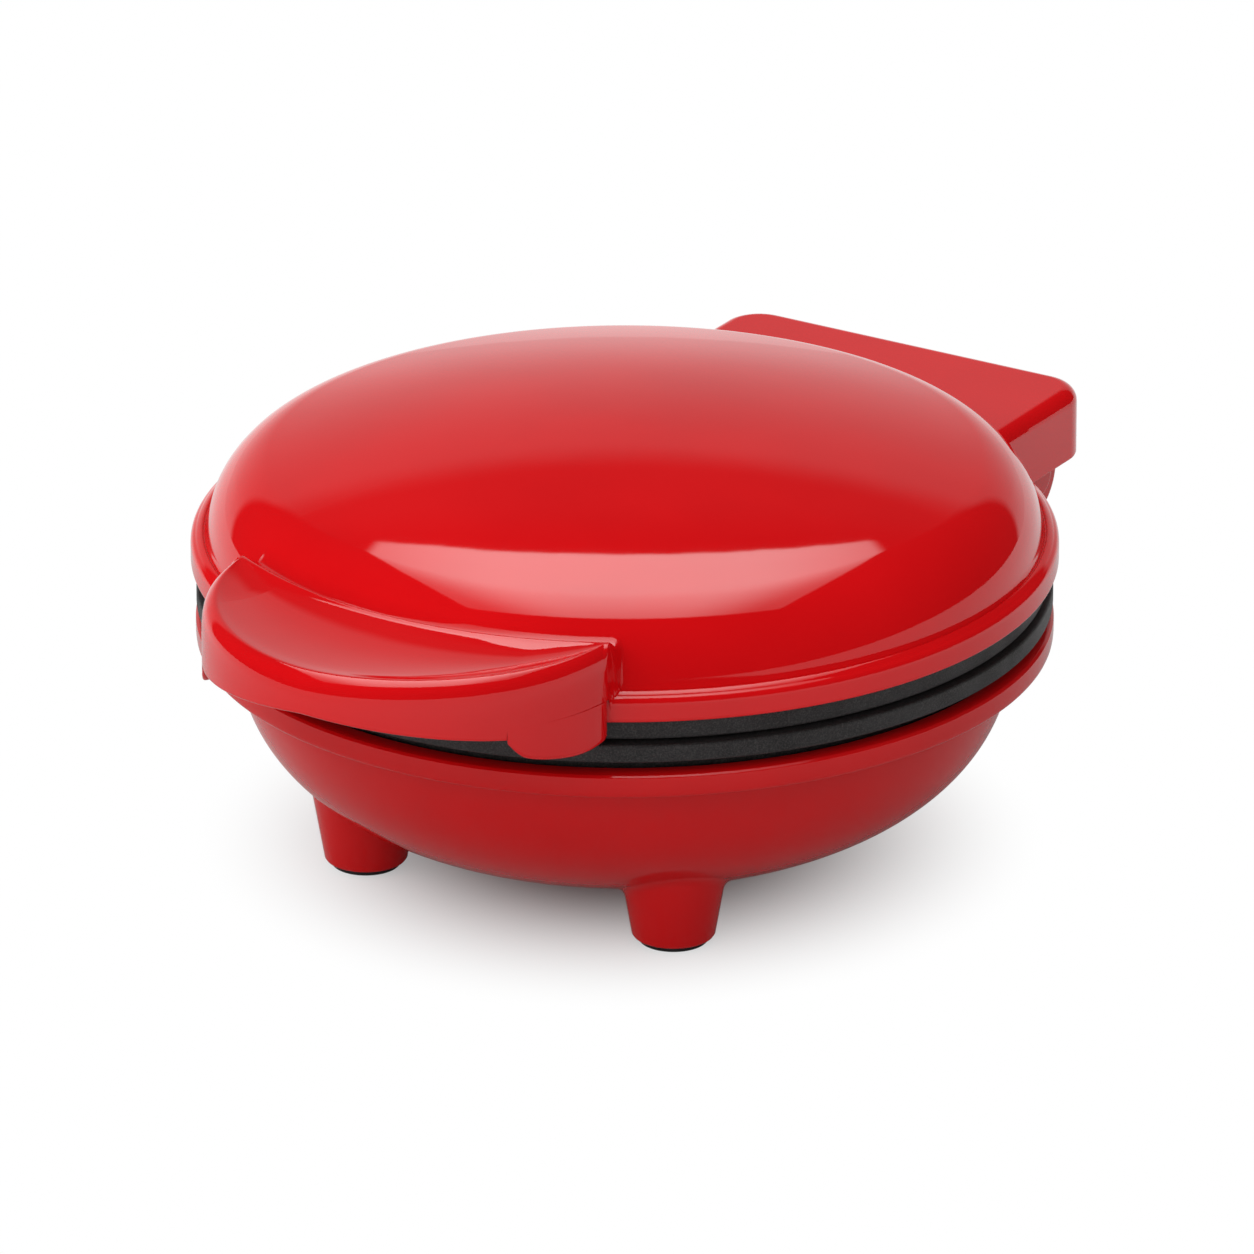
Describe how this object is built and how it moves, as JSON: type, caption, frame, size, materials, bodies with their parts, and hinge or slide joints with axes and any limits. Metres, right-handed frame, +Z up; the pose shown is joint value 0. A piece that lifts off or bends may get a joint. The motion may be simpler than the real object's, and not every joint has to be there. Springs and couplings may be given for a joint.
{
  "type": "mini sandwich waffle maker",
  "caption": "Round clam-shell waffle maker with a domed lid, ridged non-stick plates, a crescent handle at the front and a rear hinge box; the lid swings up.",
  "frame": {"origin": "on the ground, in the middle of the whole cooker's length and width", "axes": "+Z up, -Y towards the handle at the front, +Y towards the hinge box, +X to the right seen from the front"},
  "size_m": [0.1398, 0.1904, 0.0727],
  "materials": {
    "lid_plastic": "high-gloss red moulding",
    "base_plastic": "gloss red moulding, a shade darker than the lid",
    "non_stick": "cast plate with a dark grey non-stick coat of fine grain",
    "heater_sheath": "heat-darkened steel tube",
    "bright_steel": "rolled bright steel",
    "zinc_steel": "zinc-plated steel",
    "ceramic": "off-white glazed ceramic, stood in for by matte plastic",
    "lead_sleeve": "woven glass sleeve over wire",
    "black_rubber": "soft black rubber"
  },
  "bodies": {
    "base": {"base_shell": "base_plastic", "lower_plate": "non_stick", "lower_element": "heater_sheath", "lower_heat_shield": "bright_steel", "hinge_pin": "bright_steel", "pin_cap_left": "base_plastic", "pin_cap_right": "base_plastic", "lower_plate_screw_1": "zinc_steel", "lower_plate_screw_2": "zinc_steel", "lower_plate_screw_3": "zinc_steel", "thermostat": "ceramic", "thermal_fuse": "ceramic", "fuse_clip": "zinc_steel", "terminal_block": "ceramic", "thermostat_lead_left": "lead_sleeve", "thermostat_lead_right": "lead_sleeve", "element_lead_left": "lead_sleeve", "element_lead_right": "lead_sleeve", "cord_gland": "black_rubber", "foot_pad_front_left": "black_rubber", "foot_pad_front_right": "black_rubber", "foot_pad_rear_left": "black_rubber", "foot_pad_rear_right": "black_rubber"},
    "lid": {"lid_shell": "lid_plastic", "upper_plate": "non_stick", "handle_lower_cover": "lid_plastic", "upper_element": "heater_sheath", "upper_heat_shield": "bright_steel", "hinge_bracket": "zinc_steel", "hinge_bracket_screw_left": "zinc_steel", "hinge_bracket_screw_right": "zinc_steel", "handle_screw_left": "zinc_steel", "handle_screw_right": "zinc_steel", "upper_plate_screw_1": "zinc_steel", "upper_plate_screw_2": "zinc_steel", "upper_plate_screw_3": "zinc_steel"}
  },
  "joints": [
    {"name": "lid_hinge", "type": "hinge", "parent": "base", "child": "lid", "pos_m": [0, 0.08445, 0.0401], "axis": [-1, 0, 0], "range_deg": [0, 95]}
  ]
}
